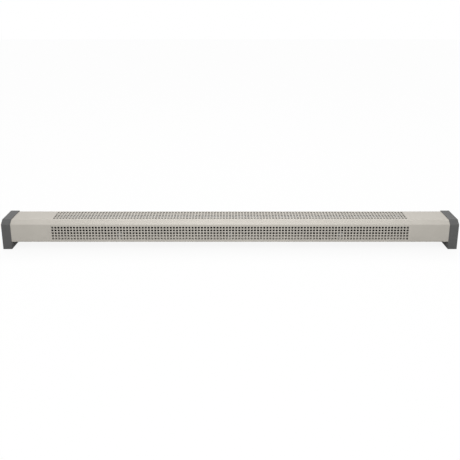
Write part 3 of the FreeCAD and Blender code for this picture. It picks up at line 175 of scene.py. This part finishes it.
def grained(name, tones, roughness, ior, patch_mm, grain_mm, depth_mm, strength):
    """A coated, moulded or fired surface: soft patches under an even grain of the given width and depth.

    The grain of most of them is 0.1 to 0.3 mm wide, and drawn coarser so that a render can show it.
    """
    material, tree, shader = new_finish(name, tones[1], roughness, ior=ior)
    patched(tree, shader, tones, roughness, patch_mm)
    grain = add_node(
        tree, "ShaderNodeTexNoise", {"Scale": per_metre(grain_mm)}, {"Vector": own_place(tree)}
    )
    bump = add_node(
        tree,
        "ShaderNodeBump",
        {"Strength": strength, "Distance": depth_mm * MM},
        {"Height": grain.outputs["Fac"]},
    )
    tree.links.new(bump.outputs["Normal"], shader.inputs["Normal"])
    return material


def powder_coated_steel():
    """Polyester powder baked on steel: satin warm grey, slightly wavy like orange peel."""
    # Real orange peel waves about every 1.5 mm, drawn at 5 mm so that the render can show it
    return grained(
        "powder_coated_steel",
        ("#C5C0B7", "#D1CCC3"),
        roughness=0.48,
        ior=1.5,
        patch_mm=60,
        grain_mm=5,
        depth_mm=0.1,
        strength=0.025,
    )


def moulded_abs():
    """ABS moulded in a spark-eroded tool: dark neutral grey with a fine dull grain."""
    # The real grain is about 0.3 mm, drawn at 1.5 mm so that the render can show it
    return grained(
        "moulded_abs",
        ("#535353", "#5F5F5F"),
        roughness=0.55,
        ior=1.53,
        patch_mm=20,
        grain_mm=1.5,
        depth_mm=0.05,
        strength=0.2,
    )


def fired_steatite():
    """Steatite pressed and fired without glaze: chalky off-white."""
    # Real pores are under 0.1 mm, drawn at 1 mm so that the render can show them
    return grained(
        "fired_steatite",
        ("#DCD3C0", "#EDE8DC"),
        roughness=0.6,
        ior=1.6,
        patch_mm=6,
        grain_mm=1,
        depth_mm=0.05,
        strength=0.2,
    )


def moulded_phenolic():
    """Phenolic resin moulded round the switch: brown-black with a faint gloss."""
    return grained(
        "moulded_phenolic",
        ("#241F1C", "#322B28"),
        roughness=0.4,
        ior=1.58,
        patch_mm=5,
        grain_mm=1.2,
        depth_mm=0.03,
        strength=0.1,
    )


def moulded_white_nylon():
    """Polyamide moulded into the terminal block: waxy white."""
    return grained(
        "moulded_white_nylon",
        ("#DAD7CC", "#E9E8E3"),
        roughness=0.45,
        ior=1.53,
        patch_mm=8,
        grain_mm=1.5,
        depth_mm=0.03,
        strength=0.1,
    )


def moulded_natural_nylon():
    """Polyamide clips moulded without pigment: milky and slightly yellow."""
    return grained(
        "moulded_natural_nylon",
        ("#D2C9AF", "#E0DBC8"),
        roughness=0.45,
        ior=1.53,
        patch_mm=5,
        grain_mm=1.5,
        depth_mm=0.03,
        strength=0.1,
    )


def moulded_black_nylon():
    """Polyamide moulded into the cable gland: black with a fine dull grain."""
    return grained(
        "moulded_black_nylon",
        ("#202022", "#2C2C2E"),
        roughness=0.5,
        ior=1.53,
        patch_mm=8,
        grain_mm=1.5,
        depth_mm=0.05,
        strength=0.2,
    )


def moulded_rubber():
    """Black rubber pressed into seals and grommets: very dull."""
    return grained(
        "moulded_rubber",
        ("#161617", "#212122"),
        roughness=0.8,
        ior=1.52,
        patch_mm=4,
        grain_mm=1.5,
        depth_mm=0.05,
        strength=0.2,
    )


def brown_silicone():
    """Silicone rubber drawn over copper strands: soft brown."""
    return grained(
        "brown_silicone",
        ("#643A21", "#72462B"),
        roughness=0.55,
        ior=1.43,
        patch_mm=15,
        grain_mm=2,
        depth_mm=0.03,
        strength=0.1,
    )


def blue_silicone():
    """Silicone rubber drawn over copper strands: soft blue."""
    return grained(
        "blue_silicone",
        ("#2A5894", "#3466A8"),
        roughness=0.55,
        ior=1.43,
        patch_mm=15,
        grain_mm=2,
        depth_mm=0.03,
        strength=0.1,
    )


def striped_silicone():
    """Earth wire: green silicone rubber with a yellow stripe that winds along it."""
    stripe_mm = 12
    green_share = 0.7
    material, tree, shader = new_finish("striped_silicone", "#3F8A3C", roughness=0.55, ior=1.43)
    stripe = add_node(
        tree,
        "ShaderNodeTexWave",
        {"Scale": per_metre(stripe_mm) * WAVE_PERIOD, "bands_direction": "DIAGONAL"},
        {"Vector": own_place(tree)},
    )
    colour = add_node(
        tree, "ShaderNodeValToRGB", links={"Fac": stripe.outputs["Fac"]}, tones=("#3F8A3C", "#D8C63A")
    )
    colour.color_ramp.interpolation = "CONSTANT"
    colour.color_ramp.elements[1].position = green_share
    tree.links.new(colour.outputs["Color"], shader.inputs["Base Color"])
    return material


def galvanised_steel():
    """Hot-dip galvanised sheet: grey zinc with flat crystals, each a little lighter or duller."""
    crystal_mm = 9
    roughness = 0.5
    tones = ("#B9BCBF", "#D2D4D5")
    material, tree, shader = new_finish("galvanised_steel", tones[1], roughness, metallic=1.0)
    crystals = add_node(
        tree, "ShaderNodeTexVoronoi", {"Scale": per_metre(crystal_mm)}, {"Vector": own_place(tree)}
    )
    toned(tree, shader, crystals.outputs["Color"], tones, roughness)
    return material


def black_anodised_aluminium():
    """Aluminium extruded through a die and anodised black: sooty, with faint lines along its length."""
    # Die lines are about 0.2 mm apart, drawn at 1.2 mm so that the render can show them
    line_mm = 1.2
    line_detail = 1.0
    lengthwise = 0.02
    roughness = 0.5
    tones = ("#262628", "#2E2E30")
    material, tree, shader = new_finish("black_anodised_aluminium", tones[1], roughness, ior=1.65)
    drawn_out = add_node(
        tree, "ShaderNodeMapping", {"Scale": (lengthwise, 1, 1)}, {"Vector": own_place(tree)}
    )
    lines = add_node(
        tree,
        "ShaderNodeTexNoise",
        {"Scale": per_metre(line_mm), "Detail": line_detail},
        {"Vector": drawn_out.outputs["Vector"]},
    )
    toned(tree, shader, lines.outputs["Fac"], tones, roughness)
    return material


def mottled_metal(name, tones, roughness, patch_mm):
    """A bare or plated metal that is clouded in patches of the given width."""
    material, tree, shader = new_finish(name, tones[1], roughness, metallic=1.0)
    patched(tree, shader, tones, roughness, patch_mm)
    return material


def heat_tinted_steel():
    """Stainless sheath that has been hot: straw and brown tints in soft patches."""
    return mottled_metal("heat_tinted_steel", ("#6E5A48", "#A0968A"), roughness=0.35, patch_mm=25)


def zinc_plated_steel():
    """Screws, nuts and rivets plated with zinc: cool grey with a slight cloud."""
    return mottled_metal("zinc_plated_steel", ("#9DA0A4", "#BFC2C5"), roughness=0.35, patch_mm=4)


def tinned_copper():
    """Lugs stamped from copper and tinned: soft silver grey."""
    return mottled_metal("tinned_copper", ("#B9B7B2", "#D9D7D2"), roughness=0.3, patch_mm=3)


def arc_points(before, corner, after):
    """The points of the outer arc that a fold turns on at a corner."""
    inward = (corner - before).normalized()
    outward = (after - corner).normalized()
    half_turn = inward.angle(outward) / 2
    middle = corner + (outward - inward).normalized() * (BEND_OUTER / math.cos(half_turn))
    setback = BEND_OUTER * math.tan(half_turn)
    start = corner - inward * setback - middle
    end = corner + outward * setback - middle
    shares = [step / BEND_STEPS for step in range(BEND_STEPS + 1)]
    return [middle + start.slerp(end, share).normalized() * BEND_OUTER for share in shares]


def hole_edges(first, count, pitch):
    """Both edges of each hole in a run from the middle of its first hole, in order."""
    middles = [first + i * pitch for i in range(count)]
    return [middle + side * HOLE_SIDE / 2 for middle in middles for side in (-1, 1)]


def casing_profile(low, high):
    """The sheet's outer profile in Y and Z, and the numbers of the strips of it that are punched."""
    front, rear, bottom, top = low.y, high.y, low.z, high.z
    corners = [
        Vector((front + BOTTOM_LIP, bottom)),
        Vector((front, bottom)),
        Vector((front, top - SHOULDER)),
        Vector((front + SHOULDER, top)),
        Vector((rear, top)),
        Vector((rear, top - REAR_LIP)),
    ]
    top_row_front = rear - TOP_ROW_REAR - (HOLE_ROWS - 1) * HOLE_PITCH
    front_edges = hole_edges(bottom + FRONT_ROW_LOW, HOLE_ROWS, FRONT_ROW_PITCH)
    top_edges = hole_edges(top_row_front, HOLE_ROWS, HOLE_PITCH)
    # The front ends at the third corner and the top at the fifth
    rows_before_corner = {
        2: [Vector((front, z)) for z in front_edges],
        4: [Vector((y, top)) for y in top_edges],
    }
    points = corners[:1]
    punched = set()
    for i in range(1, len(corners) - 1):
        for number, edge in enumerate(rows_before_corner.get(i, ())):
            if number % 2 == 0:
                punched.add(len(points))
            points.append(edge)
        points += arc_points(*corners[i - 1 : i + 2])
    return points + corners[-1:], punched


def casing_sheet():
    """The casing's outer skin as a mesh of quads that leaves out every square hole of both grilles."""
    low, high = (Vector(corner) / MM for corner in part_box("casing"))
    profile, punched = casing_profile(low, high)
    first_column = -(HOLE_COLUMNS - 1) * HOLE_PITCH / 2
    stations = [low.x] + hole_edges(first_column, HOLE_COLUMNS, HOLE_PITCH) + [high.x]
    points = [Vector((x, y, z)) * MM for y, z in profile for x in stations]
    across = len(stations)
    faces = []
    for strip in range(len(profile) - 1):
        for column in range(across - 1):
            if strip in punched and column % 2 == 1:
                continue
            corner = strip * across + column
            faces.append((corner, corner + 1, corner + across + 1, corner + across))
    sheet = bpy.data.meshes.new("casing_sheet")
    sheet.from_pydata(points, [], faces)
    return sheet


def punched_casing(finish):
    """The folded sheet at its real gauge, with the edges of its holes rolled by the punch."""
    sheet = casing_sheet()
    piece = bpy.data.objects.new("punched_casing", sheet)
    bpy.context.scene.collection.objects.link(piece)
    gauge = piece.modifiers.new("gauge", "SOLIDIFY")
    gauge.thickness = SHEET_GAUGE * MM
    gauge.offset = -1
    gauge.use_even_offset = True
    roll = piece.modifiers.new("punch_roll", "BEVEL")
    roll.width = PUNCH_ROLL * MM
    roll.segments = 1
    roll.limit_method = "ANGLE"
    roll.angle_limit = math.radians(ROLL_ANGLE)
    solid = bpy.data.meshes.new_from_object(piece.evaluated_get(bpy.context.evaluated_depsgraph_get()))
    piece.modifiers.clear()
    piece.data = solid
    solid.name = "punched_casing"
    bpy.data.meshes.remove(sheet)
    solid.shade_smooth()
    solid.set_sharp_from_angle(angle=math.radians(SMOOTH_ANGLE))
    solid.materials.append(finish)
    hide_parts("casing")
    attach(piece, "root")


def seen(tree):
    """One where the camera looks at the surface, also by way of metal or glass, and nought otherwise."""
    path = add_node(tree, "ShaderNodeLightPath")
    looks = path.outputs["Is Camera Ray"]
    for ray in ("Is Glossy Ray", "Is Transmission Ray"):
        either = add_node(
            tree, "ShaderNodeMath", {"operation": "MAXIMUM"}, {0: looks, 1: path.outputs[ray]}
        )
        looks = either.outputs[0]
    return looks


def matte_white_paper():
    """White paper that glows for the camera. Its soft shadow is mostly painted, by dimming the glow near
    the heater, and only faintly real in the small share that the lamps light.
    """
    material, tree, shader = new_finish("matte_white_paper", PAPER_TONES[1], roughness=0.9, ior=1.5)
    looks = seen(tree)
    # White to the camera, greyer in the light that it throws back at the heater
    tone = add_node(tree, "ShaderNodeValToRGB", links={"Fac": looks}, tones=PAPER_TONES)
    tree.links.new(tone.outputs["Color"], shader.inputs["Base Color"])
    share = add_node(tree, "ShaderNodeMath", {"operation": "MULTIPLY", 1: FLOOR_GLOW}, {0: looks})
    # Painted shadow: the camera sees it faintly, and reflections see it deep
    path = add_node(tree, "ShaderNodeLightPath")
    darkest = add_node(
        tree,
        "ShaderNodeMapRange",
        {"To Min": REFLECTED_PAINTED_SHADOW, "To Max": PAINTED_SHADOW_LEVEL},
        {"Value": path.outputs["Is Camera Ray"]},
    )
    # Painted shadow: ambient occlusion dims the floor's glow where the heater is near
    near = add_node(tree, "ShaderNodeAmbientOcclusion", {"Distance": PAINTED_SHADOW_REACH})
    level = add_node(
        tree,
        "ShaderNodeMapRange",
        {"To Max": 1.0},
        {"Value": near.outputs["AO"], "To Min": darkest.outputs["Result"]},
    )
    glow = add_node(tree, "ShaderNodeEmission", links={"Strength": level.outputs["Result"]})
    mix = add_node(
        tree,
        "ShaderNodeMixShader",
        links={0: share.outputs[0], 1: shader.outputs["BSDF"], 2: glow.outputs["Emission"]},
    )
    output = tree.nodes["Material Output"]
    tree.links.new(mix.outputs[0], output.inputs["Surface"])
    return material


def white_floor():
    """A plain sheet of white paper under the heater."""
    half = FLOOR_SIZE / 2
    mesh = bpy.data.meshes.new("studio_floor")
    corners = [(-half, -half, 0), (half, -half, 0), (half, half, 0), (-half, half, 0)]
    mesh.from_pydata(corners, [], [(0, 1, 2, 3)])
    mesh.materials.append(matte_white_paper())
    floor = bpy.data.objects.new("studio_floor", mesh)
    bpy.context.scene.collection.objects.link(floor)


def white_sky():
    """A white surround for the camera and for reflections, which lights the heater more softly."""
    world = bpy.data.worlds.new("white_sky")
    bpy.context.scene.world = world
    world.use_nodes = True
    tree = world.node_tree
    lit = tree.nodes["Background"]
    lit.inputs["Color"].default_value = (1, 1, 1, 1)
    level = add_node(
        tree, "ShaderNodeMapRange", {"To Min": SKY_LEVEL, "To Max": 1.0}, {"Value": seen(tree)}
    )
    tree.links.new(level.outputs["Result"], lit.inputs["Strength"])


def aimed(thing, place, target):
    """Put a lamp or the camera in the scene and turn it to a target."""
    holder = bpy.data.objects.new(thing.name, thing)
    holder.location = place
    holder.rotation_euler = (Vector(target) - Vector(place)).to_track_quat("-Z", "Y").to_euler()
    bpy.context.scene.collection.objects.link(holder)
    return holder


def soft_lamps():
    """Large soft boxes: one high in front of the middle and one high behind it."""
    for name, lamp in LAMPS.items():
        light = bpy.data.lights.new(name, "AREA")
        light.shape = "RECTANGLE"
        light.size, light.size_y = lamp["size"]
        light.energy = lamp["watts"]
        aimed(light, lamp["place"], LAMP_TARGET)


def photo_camera():
    """The photograph's camera: level across, looking down on the heater from the front."""
    camera = bpy.data.cameras.new("photo_camera")
    camera.sensor_width = SENSOR_WIDTH
    camera.lens = FOCAL_PIXELS / FRAME_PIXELS * SENSOR_WIDTH
    camera.shift_y = CAMERA_SHIFT
    place = Vector((0, -CAMERA_BACK, CAMERA_HEIGHT)) * MM
    pitch = math.radians(CAMERA_PITCH)
    ahead = Vector((0, math.cos(pitch), -math.sin(pitch)))
    bpy.context.scene.camera = aimed(camera, place, place + ahead)


FINISH_OF_SLOT = {
    "casing_paint": powder_coated_steel,
    "cap_plastic": moulded_abs,
    "zinc_sheet": galvanised_steel,
    "element_aluminium": black_anodised_aluminium,
    "rod_steel": heat_tinted_steel,
    "white_ceramic": fired_steatite,
    "zinc_fastener": zinc_plated_steel,
    "tinned_lug": tinned_copper,
    "cutout_body": moulded_phenolic,
    "block_plastic": moulded_white_nylon,
    "gland_plastic": moulded_black_nylon,
    "black_rubber": moulded_rubber,
    "clip_plastic": moulded_natural_nylon,
    "brown_wire": brown_silicone,
    "blue_wire": blue_silicone,
    "green_wire": striped_silicone,
}
finishes = {slot: make() for slot, make in FINISH_OF_SLOT.items()}
for subpart in frame["record"]["subparts"]:
    mesh = frame["nodes"][subpart["node"]].data
    mesh.materials.clear()
    mesh.materials.append(finishes[subpart["material_slot"]])
punched_casing(finishes["casing_paint"])
white_floor()
white_sky()
soft_lamps()
photo_camera()
bpy.context.scene.view_settings.view_transform = "Standard"
